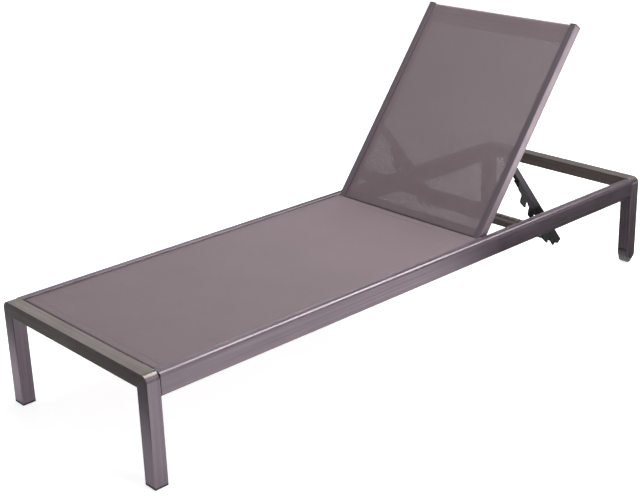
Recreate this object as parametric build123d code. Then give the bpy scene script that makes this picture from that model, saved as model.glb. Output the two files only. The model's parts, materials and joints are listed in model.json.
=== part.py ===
from build123d import *
import math
import os

# A sun lounger: a sling seat, a reclining sling back propped on hooked racks, and a roller
# let into the lower end of each head leg. All sizes are in millimetres. X runs from the foot
# end to the head end, Y to the left side, and Z up from the floor at the middle of the frame.

# Whole frame.
overall_length = 2000.0
overall_width = 650.0
frame_top = 302.0
overrun = 5.0
fit_clearance = 0.15
running_clearance = 0.08
side_clearance = 0.5

# End frames: two legs and a crossbar of one rectangular tube, mitred at the upper corners.
leg_depth = 40.0
leg_width = 42.0
crossbar_height = 40.0
frame_wall = 2.0
frame_corner_radius = 21.0
frame_edge_chamfer = 1.6

# Foot glides.
glide_height = 6.0
glide_edge_chamfer = 1.5
glide_plug_height = 26.0
glide_plug_wall = 3.0

# Rollers in the head legs, and the nylon fork that carries each of them.
wheel_radius = 25.0
wheel_width = 26.0
wheel_side_gap = 1.0
wheel_top_gap = 1.5
axle_radius = 4.0
axle_inset = 0.5
cheek_rise = 16.0
fork_height = 62.0
fork_bore_radius = 4.7

# Side rails: a hollow extrusion with a round channel and a slot for the sling.
rail_top_drop = 3.0
rail_height = 61.0
rail_thickness = 27.0
rail_wall = 2.0
rail_top_radius = 8.0
rail_bottom_radius = 6.0
rail_edge_chamfer = 1.0

# Sling channel, the same in the side rails and in the rails of the back.
slot_drop = 4.5
slot_height = 2.0
slot_lip = 2.0
channel_radius = 3.0
channel_web = 1.6

# Slings and the splines that hold them.
sling_thickness = 1.0
sling_sleeve_radius = 2.7
spline_radius = 1.7
hem_width = 24.0
hem_thickness = 0.9
hem_side_gap = 2.0
seat_foot_gap = 9.0
seat_head_gap = 12.0

# Joints between the side rails and the head frame.
spigot_length = 62.0
rail_screw_setback = 14.0
rail_screw_spacing = 32.0

# Stretcher under the seat, just ahead of the hinge.
seat_bar_setback = 35.0
seat_bar_depth = 25.0
seat_bar_height = 40.0
seat_bar_drop = 17.0
bar_wall = 1.8
bar_edge_chamfer = 1.2

# Back: its hinge, its lean at rest and its rails. Stations run up the back from the hinge,
# and depths run backwards from the plane of its front.
hinge_x = 220.0
hinge_z = 284.0
back_angle = 52.34
back_length = 723.0
back_outer_gap = 1.0
back_rail_width = 22.0
back_rail_depth = 29.0
back_wall = 1.8
back_edge_chamfer = 1.0
back_cap_thickness = 2.5
back_cap_plug = 18.0
back_sling_start = 4.0
back_sling_gap = 0.5
back_bar_setback = 8.0
back_bar_depth = 20.0
lower_bar_start = 80.0
lower_bar_width = 33.0
upper_bar_width = 28.0
upper_bar_setback = 31.0

# Hinge of the back.
hinge_bolt_radius = 4.0
hinge_bush_radius = 7.0
hinge_flange_radius = 11.0
hinge_flange_thickness = 0.7
hinge_head_radius = 6.5
hinge_head_height = 4.0
hinge_head_gap = 0.3
hinge_insert_radius = 6.0
hinge_insert_length = 14.0
hinge_bolt_grip = 12.0

# Prop: its pivot on the back, its lean at rest, and its square tubes.
pivot_station = 262.0
pivot_depth = 22.7
prop_angle = 51.95
prop_length = 414.0
strut_size = 20.0
strut_wall = 1.5
strut_edge_chamfer = 1.0
strut_plug_length = 24.0
strut_end_cap = 2.5
prop_bar_length = 40.0
pivot_pin_radius = 4.0
pivot_head_radius = 7.0
pivot_head_height = 3.0

# Plates on the back that carry the prop.
bracket_thickness = 2.5
bracket_half_length = 18.0
bracket_start_depth = 12.0
bracket_end_depth = 40.0
bracket_corner_chamfer = 8.0
bracket_rivet_spacing = 12.0
bracket_rivet_depth = 17.0

# Hooked racks under the struts: a flange screwed under the tube and a thin toothed plate below
# its outer edge. Notches are given by their distance down from the pivot.
rack_start = 82.0
rack_end_setback = 14.0
rack_flange_depth = 5.0
rack_plate_thickness = 5.0
rack_plate_depth = 17.5
rack_lead_length = 24.0
last_notch_setback = 49.0
notch_pitch = 63.5
notch_depth = 19.3
notch_clearance = 1.0
notch_seat_gap = 0.3
notch_reach = 60.0
tooth_crest_back = 24.0
tooth_crest_depth = 23.5
tooth_crest_radius = 13.5
tooth_foot_back = 46.0
tooth_foot_depth = 8.0
tooth_tip_radius = 3.5
tooth_tip_reach = 5.0
rack_screw_inset = 31.0

# Catch rod across the base, and the plates that hold its ends.
rod_radius = 6.0
rod_end_gap = 0.5
catch_thickness = 3.0
catch_half_length = 17.0
catch_height = 36.0
catch_drop = 10.0
catch_corner_chamfer = 9.0
catch_rivet_spacing = 10.0
catch_rivet_rise = 25.0

# Screws and rivets.
screw_head_radius = 4.0
screw_head_height = 2.0
screw_radius = 2.0
screw_length = 8.0
rivet_head_radius = 3.6
rivet_head_height = 1.2
rivet_radius = 1.8
rivet_length = 5.5

# Derived positions.
half_length = overall_length / 2
half_width = overall_width / 2
leg_axis_x = half_length - leg_depth / 2
leg_axis_y = half_width - leg_width / 2
rail_end_x = half_length - leg_depth
rail_top = frame_top - rail_top_drop
rail_inner_y = half_width - rail_thickness
back_outer_y = rail_inner_y - back_outer_gap
back_inner_y = back_outer_y - back_rail_width
plate_inner_y = back_inner_y - bracket_thickness
strut_axis_y = plate_inner_y - side_clearance - strut_size / 2
strut_inner_y = strut_axis_y - strut_size / 2
seat_bar_x = hinge_x - seat_bar_setback - seat_bar_depth / 2
seat_bar_z = rail_top - seat_bar_drop - seat_bar_height / 2
notch_radius = rod_radius + notch_clearance
rod_lift = notch_clearance - notch_seat_gap
last_notch = prop_length - last_notch_setback
notch_distances = [last_notch - count * notch_pitch for count in (3, 2, 1, 0)]
resting_notch = notch_distances[2]
down_angle = 90 - prop_angle

# Numbers of flats on the small pieces that are round in the hand.
many_sides = 12
some_sides = 8
few_sides = 6

os.makedirs("parts", exist_ok=True)


def save(name, *shapes):
    """Writes one node, as one solid or as several alike."""
    solids = [solid for shape in shapes for solid in shape.solids()]
    shape = solids[0] if len(solids) == 1 else Compound(children=solids)
    export_step(shape, f"parts/{name}.step")


def left_of(shape):
    """The same piece on the left side."""
    return mirror(shape, about=Plane.XZ)


def block(x_limits, y_limits, z_limits):
    """A box between three pairs of limits."""
    sizes = [high - low for low, high in (x_limits, y_limits, z_limits)]
    mid_x, mid_y, mid_z = [(low + high) / 2 for low, high in (x_limits, y_limits, z_limits)]
    return Pos(mid_x, mid_y, mid_z) * Box(*sizes)


def round_bar(x, z, y_limits, radius):
    """A cylinder along Y between two limits."""
    low, high = y_limits
    return Pos(x, (low + high) / 2, z) * Rot(90, 0, 0) * Cylinder(radius, high - low)


def cross_tube(x, z, x_size, z_size, half_span, wall, edge_chamfer):
    """A rectangular tube across the object, open at both ends."""
    outer = Rectangle(x_size, z_size)
    outer = chamfer(outer.vertices(), edge_chamfer)
    inner = Rectangle(x_size - 2 * wall, z_size - 2 * wall)
    section = Plane.XZ * Pos(x, z) * (outer - inner)
    return extrude(section, amount=half_span, both=True)


def corner(shape, x, y):
    """The corner of a flat outline that lies nearest to a point."""
    return sorted(shape.vertices(), key=lambda v: math.hypot(v.X - x, v.Y - y))[0]


def rail_outline(thickness, height, edge_chamfer, top_radius=0, bottom_radius=0):
    """Outline of a rail: x goes inwards from the outer face, y is zero at the top."""
    outline = Pos(thickness / 2, -height / 2) * Rectangle(thickness, height)
    for x, y, radius in ((0, 0, top_radius), (0, -height, bottom_radius)):
        place = corner(outline, x, y)
        outline = fillet(place, radius) if radius else chamfer(place, edge_chamfer)
    for y in (0, -height):
        outline = chamfer(corner(outline, thickness, y), edge_chamfer)
    return outline


def rail_cavity(thickness, height, wall, top_cut=0, bottom_cut=0):
    """Hollow of a rail, stepped back from the sling channel at its inner upper corner."""
    channel_x = thickness - slot_lip - channel_radius
    step_x = channel_x - channel_radius - channel_web
    step_y = -slot_drop - channel_radius - channel_web
    points = [
        (wall, -wall),
        (step_x, -wall),
        (step_x, step_y),
        (thickness - wall, step_y),
        (thickness - wall, wall - height),
        (wall, wall - height),
    ]
    cavity = make_face(Polyline(*points, close=True))
    for y, cut in ((-wall, top_cut), (wall - height, bottom_cut)):
        if cut:
            cavity = chamfer(corner(cavity, wall, y), cut)
    return cavity


def sling_channel(thickness):
    """Round channel and the slot that opens it to the inner face."""
    channel_x = thickness - slot_lip - channel_radius
    slot_length = thickness + overrun - channel_x
    slot = Pos(channel_x + slot_length / 2, -slot_drop) * Rectangle(slot_length, slot_height)
    return Pos(channel_x, -slot_drop) * RegularPolygon(channel_radius, many_sides) + slot


def along_x(section, outer_y, top, x_limits):
    """Extrudes a section of the right side along X."""
    low, high = x_limits
    return extrude(Plane.YZ.offset(low) * Pos(-outer_y, top) * section, amount=high - low)


def sling(inner_y, channel_y, z, x_limits):
    """A sling with a sleeve along each side and a hem under each end."""
    low, high = x_limits
    sheet = Rectangle(2 * channel_y, sling_thickness)
    section = sheet
    for side in (-1, 1):
        section += Pos(side * channel_y, 0) * RegularPolygon(sling_sleeve_radius, some_sides)
    for side in (-1, 1):
        section -= Pos(side * channel_y, 0) * RegularPolygon(spline_radius, some_sides)
    shape = extrude(Plane.YZ.offset(low) * Pos(0, z) * section, amount=high - low)
    hem_y = inner_y - hem_side_gap
    hem_z = (z - sling_thickness / 2 - hem_thickness, z - sling_thickness / 2)
    for start in (low, high - hem_width):
        shape += block((start, start + hem_width), (-hem_y, hem_y), hem_z)
    return shape


def splines(channel_y, z, x_limits):
    """The two cords of a sling, inside its sleeves."""
    low, high = x_limits
    cord = Plane.YZ.offset(low) * Pos(-channel_y, z) * RegularPolygon(spline_radius, some_sides)
    cord = extrude(cord, amount=high - low)
    return cord, left_of(cord)


def faceted_bar(x, z, y_limits, radius, sides):
    """A straight bar with flat sides along Y between two limits."""
    low, high = y_limits
    place = Plane(origin=(x, low, z), z_dir=(0, 1, 0)).location
    return place * extrude(RegularPolygon(radius, sides), amount=high - low)


def fastener(origin, outward, length, radius, head_radius, head_height):
    """A screw or rivet whose head stands on a face at origin, with its shank going in."""
    head = extrude(RegularPolygon(head_radius, many_sides), amount=head_height)
    shank = extrude(RegularPolygon(radius, few_sides), amount=-length)
    return Plane(origin=origin, z_dir=outward).location * (head + shank)


def screw(origin, outward):
    """A pan-headed screw."""
    return fastener(origin, outward, screw_length, screw_radius, screw_head_radius, screw_head_height)


def rivet(origin, outward):
    """A rivet with a low head."""
    return fastener(origin, outward, rivet_length, rivet_radius, rivet_head_radius, rivet_head_height)


# End frames. One outline is drawn for both and cut at the mitres into a crossbar and two legs.
def frame_outline(inset, foot_z):
    """The upturned U seen from the end, with every face moved in by inset."""
    outer_y, top = half_width - inset, frame_top - inset
    inner_y = half_width - leg_width + inset
    under = frame_top - crossbar_height + inset
    points = [
        (-outer_y, foot_z),
        (-outer_y, top),
        (outer_y, top),
        (outer_y, foot_z),
        (inner_y, foot_z),
        (inner_y, under),
        (-inner_y, under),
        (-inner_y, foot_z),
    ]
    outline = make_face(Polyline(*points, close=True))
    radius = frame_corner_radius - inset
    outline = fillet(corner(outline, -outer_y, top), radius)
    return fillet(corner(outline, outer_y, top), radius)


def mitre_point(reach):
    """A point on the right mitre, which runs outwards at half a right angle."""
    return (leg_width - half_width - reach, frame_top - crossbar_height + reach)


def mitre_regions(foot_z):
    """Prisms that hold the crossbar and the right leg, on the two sides of the mitre."""
    outer, inner = mitre_point(leg_width + overrun), mitre_point(-overrun)
    across = [outer, inner, (-inner[0], inner[1]), (-outer[0], outer[1])]
    down = [outer, inner, (inner[0], foot_z - overrun), (outer[0], foot_z - overrun)]
    prisms = []
    for points in (across, down):
        region = Plane.YZ * make_face(Polyline(*points, close=True))
        prisms.append(extrude(region, amount=half_length + overrun, both=True))
    return prisms


def end_frame(x, foot_z):
    """Crossbar and right leg of the end frame at x, with legs that start at foot_z."""
    body = extrude(Plane.YZ.offset(x) * frame_outline(0, foot_z), amount=leg_depth / 2, both=True)
    rims = body.faces().sort_by(Axis.X)
    body = chamfer(rims[0].outer_wire().edges() + rims[-1].outer_wire().edges(), frame_edge_chamfer)
    hollow = Plane.YZ.offset(x) * frame_outline(frame_wall, foot_z - overrun)
    body -= extrude(hollow, amount=leg_depth / 2 - frame_wall, both=True)
    across, down = mitre_regions(foot_z)
    return body & across, body & down


foot_crossbar, foot_leg = end_frame(-leg_axis_x, glide_height)
save("foot_crossbar", foot_crossbar)
save("foot_leg_right", foot_leg)
save("foot_leg_left", left_of(foot_leg))

# Foot glides: a pad under the tube and a hollow plug inside it.
pad_x = (-leg_axis_x - leg_depth / 2, -leg_axis_x + leg_depth / 2)
pad_y = (-leg_axis_y - leg_width / 2, -leg_axis_y + leg_width / 2)
pad = block(pad_x, pad_y, (0, glide_height))
pad = chamfer(pad.edges().filter_by(Axis.Z), glide_edge_chamfer)
pad = chamfer(pad.faces().sort_by(Axis.Z)[0].edges(), glide_edge_chamfer)
plug_inset = frame_wall + fit_clearance
plug = Pos(-leg_axis_x, -leg_axis_y, glide_height + glide_plug_height / 2) * (
    Box(leg_depth - 2 * plug_inset, leg_width - 2 * plug_inset, glide_plug_height)
    - Box(
        leg_depth - 2 * (plug_inset + glide_plug_wall),
        leg_width - 2 * (plug_inset + glide_plug_wall),
        glide_plug_height,
    )
)
glide = pad + plug
save("foot_glides", glide, left_of(glide))

# Head frame. Each leg ends in two rounded cheeks with the roller between them.
cheek_z = cheek_rise + leg_depth / 2
slot_top = 2 * wheel_radius + wheel_top_gap
wheel_slot_half = wheel_width / 2 + wheel_side_gap
wheel_slot = block(
    (leg_axis_x - leg_depth, leg_axis_x + leg_depth),
    (-leg_axis_y - wheel_slot_half, -leg_axis_y + wheel_slot_half),
    (-overrun, slot_top),
)


leg_span = (-half_width - overrun, leg_width - half_width + overrun)
above_cheeks = block(
    (leg_axis_x - leg_depth, leg_axis_x + leg_depth), leg_span, (cheek_z, frame_top + overrun)
)
head_crossbar, head_leg = end_frame(leg_axis_x, cheek_rise)
head_leg &= above_cheeks + round_bar(leg_axis_x, cheek_z, leg_span, leg_depth / 2)
head_leg -= wheel_slot
head_leg -= round_bar(leg_axis_x, wheel_radius, leg_span, axle_radius)
save("head_crossbar", head_crossbar)
save("head_leg_right", head_leg)
save("head_leg_left", left_of(head_leg))

fork_inset = frame_wall + fit_clearance
fork = block(
    (leg_axis_x - leg_depth / 2 + fork_inset, leg_axis_x + leg_depth / 2 - fork_inset),
    (-leg_axis_y - leg_width / 2 + fork_inset, -leg_axis_y + leg_width / 2 - fork_inset),
    (cheek_rise, cheek_rise + fork_height),
)
fork_end_radius = leg_depth / 2 - fork_inset
fork &= above_cheeks + faceted_bar(leg_axis_x, cheek_z, leg_span, fork_end_radius, many_sides)
fork -= wheel_slot
fork -= faceted_bar(leg_axis_x, wheel_radius, leg_span, fork_bore_radius, few_sides)
save("wheel_forks", fork, left_of(fork))
axle = round_bar(
    leg_axis_x, wheel_radius, (axle_inset - half_width, leg_width - half_width - axle_inset), axle_radius
)
save("wheel_axles", axle, left_of(axle))

# Rollers: a plain tread and a running fit on the axle.
wheel = Cylinder(wheel_radius, wheel_width)
wheel -= Cylinder(axle_radius + running_clearance, wheel_width + overrun)
wheel = Pos(leg_axis_x, -leg_axis_y, wheel_radius) * Rot(90, 0, 0) * wheel
save("wheel_right", wheel)
save("wheel_left", left_of(wheel))

# Catch rod. It lies in the resting notch of the racks, just clear of the notch's roof.
back_frame = Pos(hinge_x, 0, hinge_z) * Rot(0, -back_angle, 0)
pivot_z = back_rail_depth / 2 - pivot_depth
prop_frame = back_frame * Pos(pivot_station, 0, pivot_z) * Rot(0, back_angle + prop_angle, 0)
rack_face_z = -strut_size / 2
notch_place = prop_frame * Pos(resting_notch, 0, rack_face_z - notch_depth)
rod_x, rod_z = notch_place.position.X, notch_place.position.Z + rod_lift
rod_half = rail_inner_y - rod_end_gap
save("catch_rod", round_bar(rod_x, rod_z, (-rod_half, rod_half), rod_radius))

catch_y = (-rail_inner_y, catch_thickness - rail_inner_y)
catch_plate = block(
    (rod_x - catch_half_length, rod_x + catch_half_length),
    catch_y,
    (rod_z - catch_drop, rod_z + catch_height),
)
catch_plate = chamfer(catch_plate.edges().filter_by(Axis.Y).group_by(Axis.Z)[0], catch_corner_chamfer)
catch_plate -= round_bar(rod_x, rod_z, (-rod_half, -rail_inner_y + catch_thickness + overrun), rod_radius)
catch_rivets = []
for side in (-1, 1):
    place = (rod_x + side * catch_rivet_spacing, catch_y[1], rod_z + catch_rivet_rise)
    catch_rivets.append(rivet(place, (0, 1, 0)))
for one in catch_rivets:
    catch_plate -= one
save("catch_plates", catch_plate, left_of(catch_plate))
save("catch_rivets", *catch_rivets, *[left_of(one) for one in catch_rivets])

# Hinge bolts: a head inside each rail of the back, and a threaded insert in each side rail.
bolt_head_y = -back_inner_y + hinge_head_gap
bolt_end_y = -rail_inner_y - hinge_bolt_grip
hinge_bolt = round_bar(hinge_x, hinge_z, (bolt_end_y, bolt_head_y), hinge_bolt_radius)
head_y = (bolt_head_y, bolt_head_y + hinge_head_height)
hinge_bolt += faceted_bar(hinge_x, hinge_z, head_y, hinge_head_radius, few_sides)
save("hinge_bolts", hinge_bolt, left_of(hinge_bolt))

insert_y = (-rail_inner_y - hinge_insert_length, -rail_inner_y)
insert_body = faceted_bar(hinge_x, hinge_z, insert_y, hinge_insert_radius, few_sides)
hinge_insert = insert_body - hinge_bolt
save("hinge_inserts", hinge_insert, left_of(hinge_insert))

# Side rails. They butt the legs, and the head ends slide over spigots, each held by two screws
# from below.
outline = rail_outline(rail_thickness, rail_height, rail_edge_chamfer, rail_top_radius, rail_bottom_radius)
cavity = rail_cavity(rail_thickness, rail_height, rail_wall, rail_top_radius / 2, rail_bottom_radius / 2)
rail_section = outline - cavity - sling_channel(rail_thickness)
side_rail = along_x(rail_section, half_width, rail_top, (-rail_end_x, rail_end_x))
side_rail -= insert_body
for one in catch_rivets:
    side_rail -= one

spigot_section = offset(cavity, amount=-fit_clearance)
spigot = along_x(spigot_section, half_width, rail_top, (rail_end_x - spigot_length, rail_end_x))
rail_screws = []
for setback in (rail_screw_setback, rail_screw_setback + rail_screw_spacing):
    place = (rail_end_x - setback, rail_thickness / 2 - half_width, rail_top - rail_height)
    rail_screws.append(screw(place, (0, 0, -1)))
for one in rail_screws:
    side_rail -= one
    spigot -= one
save("side_rail_right", side_rail)
save("side_rail_left", left_of(side_rail))
save("rail_spigots", spigot, left_of(spigot))
save("rail_screws", *rail_screws, *[left_of(one) for one in rail_screws])

# Seat sling. It stops short of the foot crossbar and of the hinge.
channel_y = half_width - rail_thickness + slot_lip + channel_radius
sling_z = rail_top - slot_drop
seat_x = (seat_foot_gap - rail_end_x, hinge_x - seat_head_gap)
save("seat_sling", sling(rail_inner_y, channel_y, sling_z, seat_x))
save("seat_splines", *splines(channel_y, sling_z, seat_x))
save(
    "seat_bar",
    cross_tube(
        seat_bar_x, seat_bar_z, seat_bar_depth, seat_bar_height, rail_inner_y, bar_wall, bar_edge_chamfer
    ),
)

# Back, built lying flat with its hinge at the origin and then leaned back into place.
front_z = back_rail_depth / 2
back_start = -back_rail_depth / 2
back_outline = rail_outline(back_rail_width, back_rail_depth, back_edge_chamfer)
back_cavity = rail_cavity(back_rail_width, back_rail_depth, back_wall)
back_section = back_outline - back_cavity - sling_channel(back_rail_width)
tube_end = back_length - back_cap_thickness
back_rail = along_x(back_section, back_outer_y, front_z, (back_start, tube_end))
rail_y = (-back_outer_y - overrun, -back_inner_y + overrun)
kept = block((0, back_length), rail_y, (-back_rail_depth, back_rail_depth))
kept += round_bar(0, 0, rail_y, back_rail_depth / 2)
back_rail = back_rail & kept

bush_y = (-back_outer_y, -back_inner_y)
bush_body = faceted_bar(0, 0, bush_y, hinge_bush_radius, some_sides)
back_rail -= bush_body
flange_y = (-back_outer_y - hinge_flange_thickness, -back_outer_y)
bush = bush_body + round_bar(0, 0, flange_y, hinge_flange_radius)
bush -= round_bar(
    0, 0, (-back_outer_y - overrun, -back_inner_y + overrun), hinge_bolt_radius + running_clearance
)
save("hinge_bushes", back_frame * bush, back_frame * left_of(bush))

# Plates that carry the prop, each riveted to the inner face of a rail of the back. The rivets'
# heads are sunk, so that the struts pass them.
plate_y = (-back_inner_y, -plate_inner_y)
bracket = block(
    (pivot_station - bracket_half_length, pivot_station + bracket_half_length),
    plate_y,
    (front_z - bracket_end_depth, front_z - bracket_start_depth),
)
lower_edges = bracket.edges().filter_by(Axis.Y).group_by(Axis.Z)[0]
bracket = chamfer(lower_edges, bracket_corner_chamfer)
bracket_rivets = []
for side in (-1, 1):
    place = (
        pivot_station + side * bracket_rivet_spacing,
        -plate_inner_y - rivet_head_height,
        front_z - bracket_rivet_depth,
    )
    bracket_rivets.append(rivet(place, (0, 1, 0)))
for one in bracket_rivets:
    bracket -= one
    back_rail -= one

# Pivot pins: riveted into the plates, with a head on the inner side of each strut.
pin_head_y = -strut_inner_y + side_clearance
pin = round_bar(pivot_station, pivot_z, (-back_inner_y, pin_head_y), pivot_pin_radius)
bracket -= pin
pin_head = faceted_bar(
    pivot_station, pivot_z, (pin_head_y, pin_head_y + pivot_head_height), pivot_head_radius, many_sides
)
pin += pin_head
save("prop_brackets", back_frame * bracket, back_frame * left_of(bracket))
save(
    "bracket_rivets",
    *[back_frame * one for one in bracket_rivets],
    *[back_frame * left_of(one) for one in bracket_rivets],
)
save("pivot_pins", back_frame * pin, back_frame * left_of(pin))
save("back_rail_right", back_frame * back_rail)
save("back_rail_left", back_frame * left_of(back_rail))

# Caps on the upper ends of the back's rails.
cap = along_x(back_outline, back_outer_y, front_z, (tube_end, back_length))
cap_plug = offset(back_cavity, amount=-fit_clearance)
cap += along_x(cap_plug, back_outer_y, front_z, (tube_end - back_cap_plug, tube_end))
save("back_caps", back_frame * cap, back_frame * left_of(cap))

# Crossbars of the back, behind its sling.
bar_z = front_z - back_bar_setback - back_bar_depth / 2
upper_bar_start = back_length - upper_bar_setback - upper_bar_width
for name, start, width in (
    ("back_lower_bar", lower_bar_start, lower_bar_width),
    ("back_upper_bar", upper_bar_start, upper_bar_width),
):
    bar = cross_tube(
        start + width / 2, bar_z, width, back_bar_depth, back_inner_y, bar_wall, bar_edge_chamfer
    )
    save(name, back_frame * bar)

# Sling of the back.
back_channel_y = back_inner_y + slot_lip + channel_radius
back_sling_z = front_z - slot_drop
back_sling_x = (back_sling_start, tube_end - back_sling_gap)
back_sling = sling(back_inner_y, back_channel_y, back_sling_z, back_sling_x)
save("back_sling", back_frame * back_sling)
save("back_splines", *[back_frame * one for one in splines(back_channel_y, back_sling_z, back_sling_x)])

# Prop, built along X from its pivot, with the racks below, and then leaned into place.
strut_face = Rectangle(strut_size, strut_size)
strut_face = chamfer(strut_face.vertices(), strut_edge_chamfer)
strut_hollow = Rectangle(strut_size - 2 * strut_wall, strut_size - 2 * strut_wall)
tube_stop = prop_length - strut_end_cap
strut_start = -strut_size / 2


def strut_piece(section, x_limits):
    """Extrudes a section along the right strut."""
    low, high = x_limits
    return extrude(Plane.YZ.offset(low) * Pos(-strut_axis_y, 0) * section, amount=high - low)


strut_y = (-strut_axis_y - strut_size, -strut_axis_y + strut_size)
strut_kept = block((0, prop_length), strut_y, (-strut_size, strut_size))
strut_kept += round_bar(0, 0, strut_y, strut_size / 2)
pin_bore = round_bar(0, 0, strut_y, pivot_pin_radius + running_clearance)
strut = strut_piece(strut_face - strut_hollow, (strut_start, tube_stop)) & strut_kept
strut -= faceted_bar(0, 0, strut_y, pivot_pin_radius + side_clearance, many_sides)
plug_section = offset(strut_hollow, amount=-fit_clearance)
upper_plug = strut_piece(plug_section, (strut_start, strut_plug_length)) & strut_kept
upper_plug -= pin_bore
lower_plug = strut_piece(plug_section, (tube_stop - strut_plug_length, tube_stop))
lower_plug += strut_piece(strut_face, (tube_stop, prop_length))

# Racks. Each notch opens straight down while the back rests, and a tooth closes round it.
slot_turn = -down_angle
along_share, across_share = math.cos(math.radians(down_angle)), math.sin(math.radians(down_angle))
rack_end = prop_length - rack_end_setback
strut_outer_y = strut_axis_y + strut_size / 2


def rack_tooth(distance):
    """One tooth, from its foot on the plate to the tip that closes its notch."""
    reach = notch_radius + tooth_tip_radius
    tip_x = distance - reach * across_share + tooth_tip_reach * along_share
    tip_depth = notch_depth + reach * along_share + tooth_tip_reach * across_share
    crest = Pos(distance - tooth_crest_back, -tooth_crest_depth) * Circle(tooth_crest_radius)
    tip = Pos(tip_x, -tip_depth) * Circle(tooth_tip_radius)
    foot = Pos(distance - tooth_foot_back / 2, -tooth_foot_depth) * Rectangle(
        tooth_foot_back, tooth_foot_depth
    )
    return make_hull(crest.edges() + tip.edges() + foot.edges())


plate_points = [
    (rack_start, 0),
    (rack_start, -rack_flange_depth),
    (rack_start + rack_lead_length, -rack_plate_depth),
    (rack_end, -rack_plate_depth),
    (rack_end, 0),
]
plate_face = make_face(Polyline(*plate_points, close=True))
for distance in notch_distances:
    plate_face += rack_tooth(distance)
for distance in notch_distances:
    notch = Circle(notch_radius) + Pos(notch_reach / 2, 0) * Rectangle(notch_reach, 2 * notch_radius)
    plate_face -= Pos(distance, -notch_depth) * Rot(0, 0, slot_turn) * notch
plate_plane = Plane.XZ.offset(strut_outer_y - rack_plate_thickness) * Pos(0, rack_face_z)
rack = extrude(plate_plane * plate_face, amount=rack_plate_thickness)
rack += block(
    (rack_start, rack_end), (-strut_outer_y, -strut_inner_y), (rack_face_z - rack_flange_depth, rack_face_z)
)
rack_screw_y = -(strut_inner_y + strut_outer_y - rack_plate_thickness) / 2
rack_screws = []
for distance in (rack_start + rack_screw_inset, rack_end - rack_screw_inset):
    place = (distance, rack_screw_y, rack_face_z - rack_flange_depth)
    rack_screws.append(screw(place, (0, 0, -1)))
for one in rack_screws:
    rack -= one
    strut -= one

save("prop_strut_right", prop_frame * strut)
save("prop_strut_left", prop_frame * left_of(strut))
save("rack_right", prop_frame * rack)
save("rack_left", prop_frame * left_of(rack))
save(
    "rack_screws",
    *[prop_frame * one for one in rack_screws],
    *[prop_frame * left_of(one) for one in rack_screws],
)
save("strut_bushes", prop_frame * upper_plug, prop_frame * left_of(upper_plug))
save("strut_plugs", prop_frame * lower_plug, prop_frame * left_of(lower_plug))

# Bar that joins the lower ends of the struts.
prop_bar = cross_tube(
    prop_length - prop_bar_length / 2,
    0,
    prop_bar_length,
    strut_size,
    strut_inner_y,
    strut_wall,
    strut_edge_chamfer,
)
save("prop_bar", prop_frame * prop_bar)
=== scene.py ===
import json
import math

import bmesh
import bpy
from mathutils import Matrix, Vector


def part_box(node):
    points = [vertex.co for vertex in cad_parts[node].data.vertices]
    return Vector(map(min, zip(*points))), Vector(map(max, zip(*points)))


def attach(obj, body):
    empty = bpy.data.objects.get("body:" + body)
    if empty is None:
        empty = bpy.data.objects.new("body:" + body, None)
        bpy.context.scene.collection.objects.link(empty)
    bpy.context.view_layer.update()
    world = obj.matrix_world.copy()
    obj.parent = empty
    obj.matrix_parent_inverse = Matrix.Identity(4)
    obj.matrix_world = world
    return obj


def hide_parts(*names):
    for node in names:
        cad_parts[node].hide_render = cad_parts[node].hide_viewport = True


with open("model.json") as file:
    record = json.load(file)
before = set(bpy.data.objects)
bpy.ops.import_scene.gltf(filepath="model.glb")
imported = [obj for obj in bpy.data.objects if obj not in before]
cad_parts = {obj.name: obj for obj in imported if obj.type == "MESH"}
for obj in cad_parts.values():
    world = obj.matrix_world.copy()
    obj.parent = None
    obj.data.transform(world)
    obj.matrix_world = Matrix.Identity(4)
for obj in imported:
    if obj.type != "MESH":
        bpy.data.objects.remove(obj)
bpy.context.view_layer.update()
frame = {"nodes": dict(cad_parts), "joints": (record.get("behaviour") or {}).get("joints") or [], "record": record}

# The lounger's tubes, rails and bars are extruded aluminium, brushed along their length and
# anodised a dark bronze: mauve on the side rails and legs, olive on the crossbars and rosy on the
# back's rails. The prop's struts get a smoke-dark copy, which is painted shade: it darkens faces that
# here mirror the bright floor. Corners that are handled are rubbed paler, and on the bronze this
# paler edge is also a painted highlight, broadest along the rails' upper rounding.
BRONZE = (0.150, 0.120, 0.138, 1)
BRONZE_PALE = (0.236, 0.194, 0.222, 1)
# Paler colour for the bronze's convex edges: rubbed wear, and also a painted highlight.
BRONZE_RUBBED_AND_HIGHLIT = (0.27, 0.235, 0.255, 1)
OLIVE = (0.150, 0.126, 0.115, 1)
OLIVE_PALE = (0.242, 0.209, 0.192, 1)
# A darker copy of the bronze for the prop's struts: painted shade, darkening faces that here mirror the bright
# floor.
SMOKE_SHADE = (0.070, 0.060, 0.066, 1)
SMOKE_SHADE_PALE = (0.120, 0.104, 0.114, 1)
ROSE = (0.245, 0.196, 0.216, 1)
ROSE_PALE = (0.370, 0.305, 0.338, 1)
BACK_LEAN = math.radians(next(j for j in frame["joints"] if j["name"] == "back_hinge")["range_deg"][1])
PROP_LEAN = math.radians(51.95)
GRAIN_LENGTH, GRAIN_FINENESS = 14.0, 1500.0
# The rails' edge width is broad, so their paler edges also make a painted highlight along the upper rounding.
TUBE_EDGE_WIDTH, RAIL_EDGE_WIDTH = 0.0016, 0.006


def fill(tree, node, inputs):
    """Gives a node its inputs. Each is a value or another node's output."""
    for key, value in inputs.items():
        if isinstance(value, bpy.types.NodeSocket):
            tree.links.new(value, node.inputs[key])
        else:
            node.inputs[key].default_value = value
    return node


def add(tree, kind, inputs=None, **settings):
    """Puts a node into a tree, with its settings and inputs."""
    made = tree.nodes.new("ShaderNode" + kind)
    for name, value in settings.items():
        setattr(made, name, value)
    return fill(tree, made, inputs or {})


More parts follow.
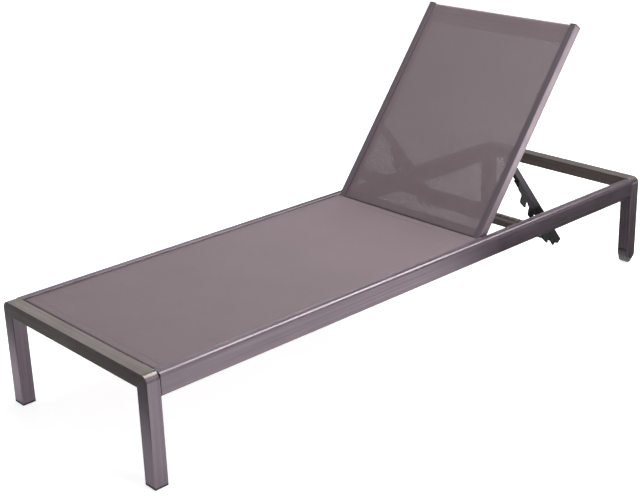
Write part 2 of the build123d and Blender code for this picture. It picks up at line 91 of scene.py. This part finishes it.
def calc(tree, operation, *values):
    """The result of a sum on numbers or other nodes' outputs."""
    return add(tree, "Math", dict(enumerate(values)), operation=operation).outputs[0]


def remap(tree, value, low=0.0, high=1.0, new_low=0.0, new_high=1.0):
    """Maps one range of values to another and stops at its ends."""
    return add(tree, "MapRange", {0: value, 1: low, 2: high, 3: new_low, 4: new_high}).outputs[0]


def noise(tree, place, scale, detail, roughness=0.5):
    """Soft noise round a half."""
    inputs = {"Vector": place, "Scale": scale, "Detail": detail, "Roughness": roughness}
    return add(tree, "TexNoise", inputs).outputs["Fac"]


def relief(tree, height, strength, distance, inputs=None):
    """Normals with a height's relief."""
    inputs = {"Height": height, "Strength": strength, "Distance": distance, **(inputs or {})}
    return add(tree, "Bump", inputs).outputs[0]


def effect(name, inputs, outputs):
    """Starts a node group with named sockets and returns its tree and its input node."""
    tree = bpy.data.node_groups.new(name, "ShaderNodeTree")
    for kind, sockets in (("INPUT", inputs), ("OUTPUT", outputs)):
        for label, socket_type in sockets:
            tree.interface.new_socket(label, in_out=kind, socket_type="NodeSocket" + socket_type)
    return tree, tree.nodes.new("NodeGroupInput"), tree.nodes.new("NodeGroupOutput")


def blend_values(tree, a, b, factor):
    """A mix of two colours."""
    return add(tree, "Mix", {0: factor, 6: a, 7: b}, data_type="RGBA").outputs[2]


def grain_effect():
    """Fine scratches drawn out along X, with slow bands between them."""
    tree, given, result = effect(
        "drawn_grain",
        [("Vector", "Vector"), ("Length", "Float"), ("Fineness", "Float")],
        [("Grain", "Float"), ("Bands", "Float")],
    )
    length, fineness = given.outputs["Length"], given.outputs["Fineness"]
    stretch = add(tree, "CombineXYZ", {0: length, 1: fineness, 2: fineness}).outputs[0]
    scaled = add(tree, "VectorMath", {0: given.outputs["Vector"], 1: stretch}, operation="MULTIPLY").outputs[0]
    fill(tree, result, {"Grain": noise(tree, scaled, 1.0, 3.0, 0.65), "Bands": noise(tree, scaled, 0.12, 2.0)})
    return tree


def edge_effect():
    """A mask that is bright on convex corners and broken up along them, and softened normals."""
    tree, given, result = effect(
        "rubbed_and_highlit_edges", [("Vector", "Vector"), ("Width", "Float")], [("Mask", "Float"), ("Normal", "Vector")]
    )
    soft = add(tree, "Bevel", {"Radius": given.outputs["Width"]}, samples=4)
    flat = add(tree, "NewGeometry")
    facing = add(tree, "VectorMath", {0: soft.outputs[0], 1: flat.outputs["Normal"]}, operation="DOT_PRODUCT")
    turned = remap(tree, facing.outputs["Value"], 0.995, 0.85)
    broken = remap(tree, noise(tree, given.outputs["Vector"], 28.0, 3.0), 0.35, 0.65, 0.15)
    fill(tree, result, {"Mask": calc(tree, "MULTIPLY", turned, broken), "Normal": soft.outputs[0]})
    return tree


GRAIN, EDGES = grain_effect(), edge_effect()


def use(tree, group, inputs):
    """Places a node group in a material with its own values."""
    return add(tree, "Group", inputs, node_tree=group).outputs


def new_material(name):
    """An empty material with a Principled shader, and its tree and shader."""
    material = bpy.data.materials.new(name)
    material.use_nodes = True
    return material, material.node_tree, material.node_tree.nodes["Principled BSDF"]


def own_place(tree, turn=(0, 0, 0)):
    """Coordinates that ride with the piece, turned so that its length lies along X."""
    place = add(tree, "TexCoord")
    return add(tree, "Mapping", {"Vector": place.outputs["Object"], "Rotation": turn}).outputs[0]


def brushed_bronze(name, turn, dark=BRONZE, pale=BRONZE_PALE, metallic=0.75, edge_width=TUBE_EDGE_WIDTH):
    """Brushed bronze aluminium, its grain laid along the piece."""
    material, tree, shader = new_material(name)
    place = own_place(tree, turn)
    grain = use(tree, GRAIN, {"Vector": place, "Length": GRAIN_LENGTH, "Fineness": GRAIN_FINENESS})
    streaks = remap(tree, grain["Grain"], 0.3, 0.7)
    bands = remap(tree, grain["Bands"], 0.35, 0.65, 0.0, 0.5)
    edges = use(tree, EDGES, {"Vector": place, "Width": edge_width})
    colour = blend_values(tree, dark, pale, calc(tree, "MULTIPLY_ADD", streaks, 0.3, bands))
    # Convex edges go paler: rubbed wear, and where the edge width is broad, as on the rails, a painted highlight
    # too.
    colour = blend_values(tree, colour, BRONZE_RUBBED_AND_HIGHLIT, edges["Mask"])
    dull = remap(tree, noise(tree, place, 7.0, 6.0, 0.7), 0.45, 0.75, 0.0, 0.12)
    polish = remap(tree, grain["Grain"], 0.3, 0.7, 0.25, 0.37)
    bump = relief(tree, grain["Grain"], 0.07, 0.0003, {"Normal": edges["Normal"]})
    fill(tree, shader, {"Base Color": colour, "Roughness": calc(tree, "ADD", polish, dull), "Normal": bump})
    shader.inputs["Metallic"].default_value = metallic
    return material


def finish_nodes(material, *names):
    """Gives CAD nodes a material."""
    for name in names:
        slots = frame["nodes"][name].data.materials
        slots.clear()
        slots.append(material)


QUARTER = math.pi / 2
along_x = brushed_bronze("bronze_along_rails", (0, 0, 0), metallic=0.97, edge_width=RAIL_EDGE_WIDTH)
along_y = brushed_bronze("bronze_along_bars", (0, 0, QUARTER), OLIVE, OLIVE_PALE)
along_z = brushed_bronze("bronze_along_legs", (0, QUARTER, 0))
along_back = brushed_bronze("bronze_along_back", (0, BACK_LEAN, 0), ROSE, ROSE_PALE)
# The struts' darker copy of the bronze is painted shade.
along_prop = brushed_bronze("bronze_along_prop_shaded", (0, -PROP_LEAN, 0), SMOKE_SHADE, SMOKE_SHADE_PALE)
finish_nodes(along_x, "side_rail_left", "side_rail_right")
finish_nodes(
    along_y, "foot_crossbar", "head_crossbar", "seat_bar", "back_lower_bar", "back_upper_bar", "prop_bar"
)
finish_nodes(along_z, "foot_leg_left", "foot_leg_right", "head_leg_left", "head_leg_right")
finish_nodes(along_back, "back_rail_left", "back_rail_right")
finish_nodes(along_prop, "prop_strut_left", "prop_strut_right")

# Plates and spigots are stamped or sawn from dark anodised aluminium. The catch rod, pins, bolts,
# inserts and roller pins are turned from zinc-plated steel. All are rubbed paler on their corners.
PLATE = (0.10, 0.092, 0.09, 1)
PLATE_PALE = (0.19, 0.175, 0.17, 1)
STEEL = (0.32, 0.315, 0.31, 1)
STEEL_PALE = (0.52, 0.51, 0.50, 1)
STAMPED_EDGE_WIDTH = 0.0008


def worked_metal(name, dark, pale, roughness, metallic):
    """Stamped or turned metal with a cloudy surface and rubbed edges."""
    material, tree, shader = new_material(name)
    place = own_place(tree)
    cloud = noise(tree, place, 90.0, 4.0, 0.6)
    edges = use(tree, EDGES, {"Vector": place, "Width": STAMPED_EDGE_WIDTH})
    colour = blend_values(tree, dark, pale, remap(tree, cloud, 0.35, 0.65))
    colour = blend_values(tree, colour, pale, edges["Mask"])
    rough = remap(tree, cloud, 0.35, 0.65, roughness, roughness + 0.15)
    bump = relief(tree, cloud, 0.08, 0.0004)
    fill(tree, shader, {"Base Color": colour, "Roughness": rough, "Normal": bump})
    shader.inputs["Metallic"].default_value = metallic
    return material


plate = worked_metal("bronze_plate", PLATE, PLATE_PALE, 0.42, 0.8)
finish_nodes(plate, "catch_plates", "prop_brackets", "rail_spigots")
zinc = worked_metal("zinc_steel", STEEL, STEEL_PALE, 0.28, 1.0)
finish_nodes(zinc, "catch_rod", "pivot_pins", "hinge_bolts", "hinge_inserts", "wheel_axles")

# Racks, glides, bushes, plugs, caps and the slings' cords are moulded nylon, black, with a fine
# spark-eroded texture and a dull gloss. The rollers and their forks are moulded in a grey one.
NYLON = (0.012, 0.012, 0.013, 1)
NYLON_PALE = (0.035, 0.034, 0.035, 1)
ROLLER = (0.095, 0.088, 0.092, 1)
ROLLER_PALE = (0.165, 0.155, 0.16, 1)
MOULDED_EDGE_WIDTH = 0.0007
TREAD_ROUNDING = 0.0018


def moulded_nylon(name, dark, pale, roughness):
    """Moulded nylon: an eroded texture, with scuffs where it rubs."""
    material, tree, shader = new_material(name)
    place = own_place(tree)
    scuffs = noise(tree, place, 60.0, 5.0, 0.7)
    edges = use(tree, EDGES, {"Vector": place, "Width": MOULDED_EDGE_WIDTH})
    tone = calc(tree, "MAXIMUM", remap(tree, scuffs, 0.5, 0.75), edges["Mask"])
    rough = remap(tree, scuffs, 0.3, 0.7, roughness, roughness + 0.2)
    bump = relief(tree, noise(tree, place, 1400.0, 2.0), 0.15, 0.0002)
    fill(tree, shader, {"Base Color": blend_values(tree, dark, pale, tone), "Roughness": rough, "Normal": bump})
    return material


finish_nodes(
    moulded_nylon("black_nylon", NYLON, NYLON_PALE, 0.42),
    "foot_glides", "hinge_bushes", "strut_bushes", "strut_plugs", "rack_left",
    "rack_right", "back_caps", "seat_splines", "back_splines",
)
roller_nylon = moulded_nylon("roller_nylon", ROLLER, ROLLER_PALE, 0.4)
finish_nodes(roller_nylon, "wheel_left", "wheel_right", "wheel_forks")
for name in ("wheel_left", "wheel_right"):
    rounding = frame["nodes"][name].modifiers.new("rounded_tread", "BEVEL")
    rounding.width, rounding.segments = TREAD_ROUNDING, 3
    rounding.limit_method, rounding.angle_limit = "ANGLE", math.radians(60)

# Screws have domed pan heads with a hexagonal socket, and rivets a low dome with the dimple that
# their mandrel leaves. Each takes its place and direction from its own solid in the CAD node.
HEAD_SEGMENTS = 48
SAME_LEVEL, SAME_PLACE = 1e-5, 1e-6
SHANK_SHARE = 0.5
SOCKET_TAPER, SOCKET_DEPTH = 0.96, 0.6
SCREW_SOCKET = (6, 0.42)
RIVET_DIMPLE = (0, 0.2)
SCREW_PROFILE = ((1.0, 0.0), (1.0, 0.35), (0.93, 0.72), (0.76, 0.93), (0.58, 1.0))
RIVET_PROFILE = ((1.0, 0.0), (0.98, 0.3), (0.86, 0.68), (0.62, 0.93), (0.36, 1.0))


def as_object(name, mesh, material, smooth=True):
    """A named object from a bmesh."""
    data = bpy.data.meshes.new(name)
    mesh.to_mesh(data)
    mesh.free()
    data.materials.append(material)
    for polygon in data.polygons:
        polygon.use_smooth = smooth
    made = bpy.data.objects.new(name, data)
    bpy.context.scene.collection.objects.link(made)
    return made


def separate_solids(name):
    """The corners of each separate solid of a CAD node, in the same order on every run."""
    mesh = bmesh.new()
    mesh.from_mesh(frame["nodes"][name].data)
    bmesh.ops.remove_doubles(mesh, verts=mesh.verts, dist=SAME_PLACE)
    mesh.verts.index_update()
    seen, solids = set(), []
    for first in mesh.verts:
        if first.index in seen:
            continue
        seen.add(first.index)
        reached = [first]
        for vertex in reached:
            for edge in vertex.link_edges:
                other = edge.other_vert(vertex)
                if other.index not in seen:
                    seen.add(other.index)
                    reached.append(other)
        solids.append([vertex.co.copy() for vertex in reached])
    mesh.free()
    return solids


def turned_fasteners(name, outward, profile, socket_sides, socket_share):
    """Domed heads on round shanks in place of a CAD node of plain ones. Outward gives the way
    that a head faces, from the place of its solid."""
    mesh = bmesh.new()
    for points in separate_solids(name):
        middle = sum(points, Vector()) / len(points)
        up = outward(middle).normalized()
        levels = sorted(point.dot(up) for point in points)
        top, bottom = levels[-1], levels[0]
        crown = [point for point in points if top - point.dot(up) < SAME_LEVEL]
        centre = sum(crown, Vector()) / len(crown)
        radius = max((point - centre).length for point in crown)
        height = top - max(level for level in levels if top - level > 10 * SAME_LEVEL)
        side = up.orthogonal().normalized()
        other = up.cross(side)

        def ring(spread, level, start=centre, side=side, other=other, up=up):
            """A ring of corners at a height over the crown, its radius given for each angle."""
            made = []
            for k in range(HEAD_SEGMENTS):
                angle = 2 * math.pi * k / HEAD_SEGMENTS
                out = side * math.cos(angle) + other * math.sin(angle)
                made.append(mesh.verts.new(start + out * spread(angle) + up * level))
            return made

        def socket(angle, radius=radius):
            """Outline of the socket, with flats where it has sides."""
            reach = socket_share * radius
            if not socket_sides:
                return reach
            step = 2 * math.pi / socket_sides
            return reach * math.cos(step / 2) / math.cos(angle % step - step / 2)

        rings = [ring(lambda angle, r=radius: SHANK_SHARE * r, bottom - top)]
        rings.append(ring(lambda angle, r=radius: SHANK_SHARE * r, -height))
        rings += [ring(lambda angle, r=radius * s: r, (level - 1) * height) for s, level in profile]
        rings.append(ring(socket, 0.0))
        rings.append(ring(lambda angle: SOCKET_TAPER * socket(angle), -SOCKET_DEPTH * height))
        for low, high in zip(rings, rings[1:]):
            for k in range(HEAD_SEGMENTS):
                mesh.faces.new((low[k - 1], low[k], high[k], high[k - 1]))
        mesh.faces.new(rings[0][::-1])
        mesh.faces.new(rings[-1])
    bmesh.ops.recalc_face_normals(mesh, faces=mesh.faces)
    made = as_object("turned_" + name, mesh, zinc)
    made.modifiers.new("crisp_rims", "EDGE_SPLIT").split_angle = math.radians(35)
    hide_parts(name)
    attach(made, next(
        body for body, nodes in frame["record"]["behaviour"]["bodies"].items() if name in nodes
    ))


below_strut = Vector((-math.sin(PROP_LEAN), 0, -math.cos(PROP_LEAN)))
turned_fasteners("rail_screws", lambda place: Vector((0, 0, -1)), SCREW_PROFILE, *SCREW_SOCKET)
turned_fasteners("rack_screws", lambda place: below_strut, SCREW_PROFILE, *SCREW_SOCKET)
turned_fasteners("catch_rivets", lambda place: Vector((0, -place.y, 0)), RIVET_PROFILE, *RIVET_DIMPLE)
turned_fasteners("bracket_rivets", lambda place: Vector((0, -place.y, 0)), RIVET_PROFILE, *RIVET_DIMPLE)

# The slings are an open mesh woven from vinyl-coated polyester yarn, taupe, pulled taut from
# rail to rail. Each side is sewn into a sleeve round a cord that slides into the rail's
# channel, and each end is folded under into a hem with two rows of stitches.
YARN_PITCH = 0.00125
YARN_LIFT = 0.6
YARN_SHARE = 0.61
YARN_SHARE_BACK = 0.655
TAUPE = (0.272, 0.203, 0.221, 1)
TAUPE_PALE = (0.345, 0.262, 0.284, 1)
# Darker colour for the low places in the weave: painted shade.
TAUPE_VALLEY_SHADE = (0.14, 0.104, 0.113, 1)
SLING_SAG = 0.0024
SAG_AT_ENDS, SAG_GROWTH = 0.35, 6
SLING_STEP = 0.008
SLING_THICKNESS = 0.00038
HEM_WIDTH = 0.030
HEM_THICKNESS = 0.0009
HEM_ROWS = (0.0045, 0.0265)
HEM_INSET, STITCH_INSET = 0.002, 0.004
STITCH_PITCH = 0.0042
STITCH_LENGTH = 0.0031
THREAD_RADIUS = 0.0004
THREAD_SIDES, THREAD_FLATNESS = 6, 0.8
THREAD = (0.085, 0.068, 0.070, 1)
THREAD_PALE = (0.16, 0.132, 0.135, 1)


def weave_effect():
    """A plain weave in the XY plane: its yarns' height, its holes and each yarn's own shade."""
    tree, given, result = effect(
        "open_weave",
        [("Vector", "Vector"), ("Pitch", "Float"), ("Yarn", "Float")],
        [("Height", "Float"), ("Cover", "Float"), ("Shade", "Float")],
    )
    count = calc(tree, "DIVIDE", 1.0, given.outputs["Pitch"])
    scaled = add(tree, "VectorMath", {0: given.outputs["Vector"], "Scale": count}, operation="SCALE")
    axes = add(tree, "SeparateXYZ", {0: scaled.outputs[0]})
    half = calc(tree, "MULTIPLY", given.outputs["Yarn"], 0.5)
    across, cells, shades = [], [], []
    for axis in (0, 1):
        cell = calc(tree, "FLOOR", axes.outputs[axis])
        offset = calc(tree, "SUBTRACT", calc(tree, "SUBTRACT", axes.outputs[axis], cell), 0.5)
        share = calc(tree, "DIVIDE", calc(tree, "ABSOLUTE", offset), half)
        across.append(calc(tree, "SUBTRACT", 1.0, calc(tree, "POWER", share, 2.0)))
        cells.append(cell)
        shades.append(add(tree, "TexWhiteNoise", {"W": cell}, noise_dimensions="1D").outputs["Value"])
    parity = calc(tree, "FLOORED_MODULO", calc(tree, "ADD", *cells), 2.0)
    lift = remap(tree, parity, new_low=-YARN_LIFT, new_high=YARN_LIFT)
    warp = calc(tree, "ADD", across[0], lift)
    weft = calc(tree, "ADD", across[1], calc(tree, "MULTIPLY", lift, -1.0))
    shade = add(tree, "Mix", {0: calc(tree, "GREATER_THAN", warp, weft), 2: shades[1], 3: shades[0]})
    fill(tree, result, {
        "Height": calc(tree, "MAXIMUM", warp, weft),
        "Cover": calc(tree, "GREATER_THAN", calc(tree, "MAXIMUM", *across), 0.0),
        "Shade": shade.outputs[0],
    })
    return tree


WEAVE = weave_effect()


def sling_cloth(name, turn, share):
    """The mesh of a sling. Share is how much of each pitch the yarn fills."""
    material, tree, shader = new_material(name)
    place = own_place(tree, turn)
    weave = use(tree, WEAVE, {"Vector": place, "Pitch": YARN_PITCH, "Yarn": share})
    drift = remap(tree, noise(tree, place, 9.0, 3.0), 0.35, 0.65, -0.12, 0.12)
    tone = calc(tree, "MULTIPLY_ADD", weave["Shade"], 0.55, drift)
    colour = blend_values(tree, TAUPE, TAUPE_PALE, tone)
    # Where the yarns dip low, the colour darkens towards the deep taupe: painted shade in the weave's valleys.
    colour = blend_values(tree, TAUPE_VALLEY_SHADE, colour, remap(tree, weave["Height"], 0.1, 1.5))
    bump = relief(tree, weave["Height"], 0.5, 0.0003)
    fill(tree, shader, {"Base Color": colour, "Alpha": weave["Cover"], "Normal": bump})
    shader.inputs["Roughness"].default_value = 0.55
    shader.inputs["Sheen Weight"].default_value = 0.1
    return material


def hang(along, across):
    """How far a sling hangs below its channels, with along and across as shares of its size."""
    return SLING_SAG * (1 - across**2) * min(1.0, SAG_AT_ENDS + SAG_GROWTH * min(along, 1 - along))


def sling_sheet(name, place, length, half_span, channel, material):
    """A taut sheet in its own plane, placed by a matrix, its sides running into the channels.

    It has two faces a yarn apart, so its holes close as they do in a mesh seen at a slant.
    """
    mesh = bmesh.new()
    rows = round(length / SLING_STEP)
    columns = round(2 * half_span / SLING_STEP)
    grid = []
    for i in range(rows + 1):
        along = i / rows
        row = []
        for k in range(columns + 1):
            across = 2 * k / columns - 1
            point = Vector((along * length, across * half_span, -hang(along, across)))
            row.append(mesh.verts.new(place @ point))
        reach = [place @ Vector((along * length, side * (half_span + channel), 0)) for side in (-1, 1)]
        row.insert(0, mesh.verts.new(reach[0]))
        row.append(mesh.verts.new(reach[1]))
        grid.append(row)
    for low, high in zip(grid, grid[1:]):
        for k in range(len(low) - 1):
            mesh.faces.new((low[k], high[k], high[k + 1], low[k + 1]))
    sheet = as_object(name, mesh, material)
    thicken = sheet.modifiers.new("yarn_thickness", "SOLIDIFY")
    thicken.thickness, thicken.offset = SLING_THICKNESS, 0
    return sheet


def stitch_rows(name, place, length, rows, half_span, material):
    """Rows of stitches across a hem, each a short rounded loop of thread on the sheet's top."""
    mesh = bmesh.new()
    count = round(2 * half_span / STITCH_PITCH)
    for row in rows:
        for k in range(count):
            across = (2 * k + 1) / count - 1
            top = SLING_THICKNESS / 2 - hang(row / length, across)
            middle = Vector((row, across * half_span, top))
            rings = []
            for end, wide in ((-1, 0.5), (-0.6, 1), (0.6, 1), (1, 0.5)):
                ring = []
                for turn in range(THREAD_SIDES):
                    angle = 2 * math.pi * turn / THREAD_SIDES
                    side = THREAD_RADIUS * wide * math.cos(angle)
                    lift = THREAD_RADIUS * wide * math.sin(angle) * THREAD_FLATNESS - THREAD_RADIUS * (1 - wide)
                    point = middle + Vector((side, end * STITCH_LENGTH / 2, lift))
                    ring.append(mesh.verts.new(place @ point))
                rings.append(ring)
            for low, high in zip(rings, rings[1:]):
                for turn in range(THREAD_SIDES):
                    mesh.faces.new((low[turn - 1], low[turn], high[turn], high[turn - 1]))
            mesh.faces.new(rings[0])
            mesh.faces.new(rings[-1][::-1])
    bmesh.ops.recalc_face_normals(mesh, faces=mesh.faces)
    return as_object(name, mesh, material)


def hem_strip(name, place, start, half_span, material):
    """The folded end of a sling: a flat rounded strip under the sheet."""
    mesh = bmesh.new()
    half = HEM_THICKNESS / 2
    outline = [(0.0, half)]
    outline += [(-half * math.sin(a), half * math.cos(a)) for a in (0.8, 1.57, 2.35)]
    outline += [(0.0, -half), (HEM_WIDTH, -half), (HEM_WIDTH, half)]
    columns = round(2 * half_span / SLING_STEP)
    rings = []
    for k in range(columns + 1):
        across = 2 * k / columns - 1
        drop = -SLING_SAG * SAG_AT_ENDS * (1 - across**2) - HEM_THICKNESS
        rings.append([
            mesh.verts.new(place @ Vector((start[0] + start[1] * u, across * half_span, w + drop)))
            for u, w in outline
        ])
    for low, high in zip(rings, rings[1:]):
        for k in range(len(low)):
            mesh.faces.new((low[k], low[k - 1], high[k - 1], high[k]))
    mesh.faces.new(rings[0])
    mesh.faces.new(rings[-1][::-1])
    bmesh.ops.recalc_face_normals(mesh, faces=mesh.faces)
    return as_object(name, mesh, material)


def sewing_thread():
    """Bonded polyester thread, twisted, a little darker than the mesh."""
    material, tree, shader = new_material("sewing_thread")
    place = own_place(tree)
    waves = {"Vector": place, "Scale": 900.0, "Distortion": 1.0}
    twist = add(tree, "TexWave", waves, bands_direction="DIAGONAL").outputs["Fac"]
    colour = blend_values(tree, THREAD, THREAD_PALE, twist)
    fill(tree, shader, {"Base Color": colour, "Normal": relief(tree, twist, 0.4, 0.0001)})
    shader.inputs["Roughness"].default_value = 0.5
    return material


RAIL_WALL_TO_CHANNEL = 0.005
SEAT_LIP = 0.0035
thread = sewing_thread()
seat_low, seat_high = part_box("seat_sling")
seat_half = -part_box("side_rail_right")[1].y
seat_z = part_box("seat_splines")[0].z + (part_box("seat_splines")[1].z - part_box("seat_splines")[0].z) / 2
seat_place = Matrix.Translation((seat_low.x, 0, seat_z))
seat_length = seat_high.x - seat_low.x + SEAT_LIP
seat_cloth = sling_cloth("taupe_mesh_seat", (0, 0, 0), YARN_SHARE)
seat = sling_sheet("seat_mesh", seat_place, seat_length, seat_half, RAIL_WALL_TO_CHANNEL, seat_cloth)
seat_hems = [
    hem_strip("seat_hem_foot", seat_place, (0, 1), seat_half - HEM_INSET, seat_cloth),
    hem_strip("seat_hem_hinge", seat_place, (seat_length, -1), seat_half - HEM_INSET, seat_cloth),
    stitch_rows("seat_stitches_foot", seat_place, seat_length, HEM_ROWS, seat_half - STITCH_INSET, thread),
    stitch_rows(
        "seat_stitches_hinge", seat_place, seat_length, [seat_length - row for row in HEM_ROWS],
        seat_half - STITCH_INSET, thread,
    ),
]
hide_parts("seat_sling")

hinge = Vector(next(j for j in frame["joints"] if j["name"] == "back_hinge")["pos_m"])
BACK_CHANNEL_HEIGHT = 0.010
BACK_SLING_START = 0.002
BACK_SLING_END = 0.720
back_half = -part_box("back_rail_right")[1].y
back_place = (
    Matrix.Translation(hinge)
    @ Matrix.Rotation(-BACK_LEAN, 4, "Y")
    @ Matrix.Translation((BACK_SLING_START, 0, BACK_CHANNEL_HEIGHT))
)
back_length = BACK_SLING_END - BACK_SLING_START
back_cloth = sling_cloth("taupe_mesh_back", (0, BACK_LEAN, 0), YARN_SHARE_BACK)
back = sling_sheet("back_mesh", back_place, back_length, back_half, RAIL_WALL_TO_CHANNEL, back_cloth)
back_hems = [
    hem_strip("back_hem_top", back_place, (back_length, -1), back_half - HEM_INSET, back_cloth),
    hem_strip("back_hem_bottom", back_place, (0, 1), back_half - HEM_INSET, back_cloth),
    stitch_rows(
        "back_stitches_top", back_place, back_length, [back_length - row for row in HEM_ROWS],
        back_half - STITCH_INSET, thread,
    ),
    stitch_rows(
        "back_stitches_bottom", back_place, back_length, HEM_ROWS, back_half - STITCH_INSET, thread
    ),
]
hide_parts("back_sling")
for piece in [seat, *seat_hems]:
    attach(piece, "base")
for piece in [back, *back_hems]:
    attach(piece, "backrest")

# The floor is a white sheet, and the camera sees both it and the air behind it as plain white. A
# broad light hangs beyond the head end, a smaller one at the near side and a long one behind. Four
# dark cards and a bright one lie on the floor and show only in what mirrors them: the dark ones are
# painted dark reflections in the metal, and the bright one glows as a painted reflected highlight.
FLOOR_REACH = 60
FLOOR_GLOW, FLOOR_GLOW_SEEN = 0.45, 0.75
AIR_GLOW, AIR_GLOW_SEEN = 0.3, 1.1
CARD_HEIGHT = 0.002
floor_mesh = bmesh.new()
bmesh.ops.create_grid(floor_mesh, x_segments=1, y_segments=1, size=FLOOR_REACH)
floor_material, floor_tree, floor_shader = new_material("pale_floor")
dust = add(floor_tree, "TexNoise", {"Scale": 3.0, "Detail": 2.0})
dusty = remap(floor_tree, dust.outputs["Fac"], new_low=0.86, new_high=0.92)
floor_tree.links.new(dusty, floor_shader.inputs["Base Color"])
floor_shader.inputs["Roughness"].default_value = 0.9
floor_shader.inputs["Emission Color"].default_value = (1, 1, 1, 1)
seen = add(floor_tree, "LightPath")
glow = remap(floor_tree, seen.outputs["Is Camera Ray"], new_low=FLOOR_GLOW, new_high=FLOOR_GLOW_SEEN)
floor_tree.links.new(glow, floor_shader.inputs["Emission Strength"])
floor = as_object("floor", floor_mesh, floor_material)


def floor_card(name, corners, glow):
    """A card just over the floor that shows only in reflections: matt black for a painted dark reflection, or
    glowing for a painted reflected highlight.
    """
    mesh = bmesh.new()
    mesh.faces.new([mesh.verts.new((x, y, CARD_HEIGHT)) for x, y in corners])
    material, tree, shader = new_material(name)
    grain = add(tree, "TexNoise", {"Scale": 400.0})
    tone = remap(tree, grain.outputs["Fac"], new_low=0.002, new_high=0.006)
    tree.links.new(tone, shader.inputs["Base Color"])
    shader.inputs["Roughness"].default_value = 1.0
    shader.inputs["Emission Color"].default_value = (1, 1, 1, 1)
    shader.inputs["Emission Strength"].default_value = glow
    card = as_object(name, mesh, material, smooth=False)
    card.visible_camera = card.visible_diffuse = card.visible_shadow = False
    card.visible_transmission = False


floor_card("dark_card_head", ((0.5, -0.33), (0.6, -1.05), (1.3, -1.05), (4.5, -1.5), (4.5, -0.33)), 0.0)
floor_card("dark_card_end", ((1.02, -0.33), (2.6, -0.33), (2.6, 0.5), (1.02, 0.5)), 0.0)
floor_card("dark_card_foot", ((-4.5, -4.0), (-1.2, -4.0), (-1.2, 4.0), (-4.5, 4.0)), 0.0)
floor_card("dark_card_under", ((-0.3, -0.28), (0.93, -0.28), (0.93, 1.2), (-0.3, 1.2)), 0.0)
floor_card("bright_card", ((1.3, -1.07), (1.3, -1.8), (4.4, -3.6), (4.4, -2.1)), 2.8)


def area_light(name, place, aim, width, height, power):
    """A soft light that looks at a point, its width level."""
    lamp = bpy.data.lights.new(name, "AREA")
    lamp.shape, lamp.size, lamp.size_y, lamp.energy = "RECTANGLE", width, height, power
    made = bpy.data.objects.new(name, lamp)
    made.location = place
    made.rotation_euler = (Vector(aim) - Vector(place)).to_track_quat("-Z", "Y").to_euler()
    bpy.context.scene.collection.objects.link(made)


area_light("key_light", (0.2, -3.5, 2.6), (-0.2, 0, 0.3), 2.0, 2.0, 32)
area_light("top_light", (1.9, 0.0, 3.3), (-0.2, 0, 0.3), 2.4, 2.4, 150)
area_light("back_light", (1.0, 3.6, 2.2), (-0.4, 0, 0.3), 2.6, 1.2, 12)
world = bpy.data.worlds.new("studio")
world.use_nodes = True
world.node_tree.nodes["Background"].inputs["Color"].default_value = (0.95, 0.95, 1.0, 1)
backdrop = add(world.node_tree, "LightPath")
air = remap(world.node_tree, backdrop.outputs["Is Camera Ray"], new_low=AIR_GLOW, new_high=AIR_GLOW_SEEN)
world.node_tree.links.new(air, world.node_tree.nodes["Background"].inputs["Strength"])
bpy.context.scene.world = world
bpy.context.scene.view_settings.view_transform = "Standard"

# The camera stands where the photograph was taken from, found from the edges of the frame.
PHOTO_WIDTH, PHOTO_HEIGHT = 640, 496
FOCAL_PIXELS = 1250.88
CENTRE_X, CENTRE_Y = 344.84, 223.06
CAMERA_PLACE = (-2.4371, -2.5199, 1.6254)
YAW, PITCH, ROLL = (math.radians(a) for a in (-43.4685, 20.2848, -1.3863))
ahead = Vector((-math.sin(YAW) * math.cos(PITCH), math.cos(YAW) * math.cos(PITCH), -math.sin(PITCH)))
level = ahead.cross(Vector((0, 0, 1))).normalized()
upward = level.cross(ahead)
right = level * math.cos(ROLL) + upward * math.sin(ROLL)
up = upward * math.cos(ROLL) - level * math.sin(ROLL)
camera_data = bpy.data.cameras.new("camera")
camera_data.lens = FOCAL_PIXELS / PHOTO_WIDTH * camera_data.sensor_width
camera_data.shift_x = (PHOTO_WIDTH / 2 - CENTRE_X) / PHOTO_WIDTH
camera_data.shift_y = (CENTRE_Y - PHOTO_HEIGHT / 2) / PHOTO_WIDTH
camera = bpy.data.objects.new("camera", camera_data)
camera.matrix_world = Matrix.Translation(CAMERA_PLACE) @ Matrix((right, up, -ahead)).transposed().to_4x4()
bpy.context.scene.collection.objects.link(camera)
bpy.context.scene.camera = camera
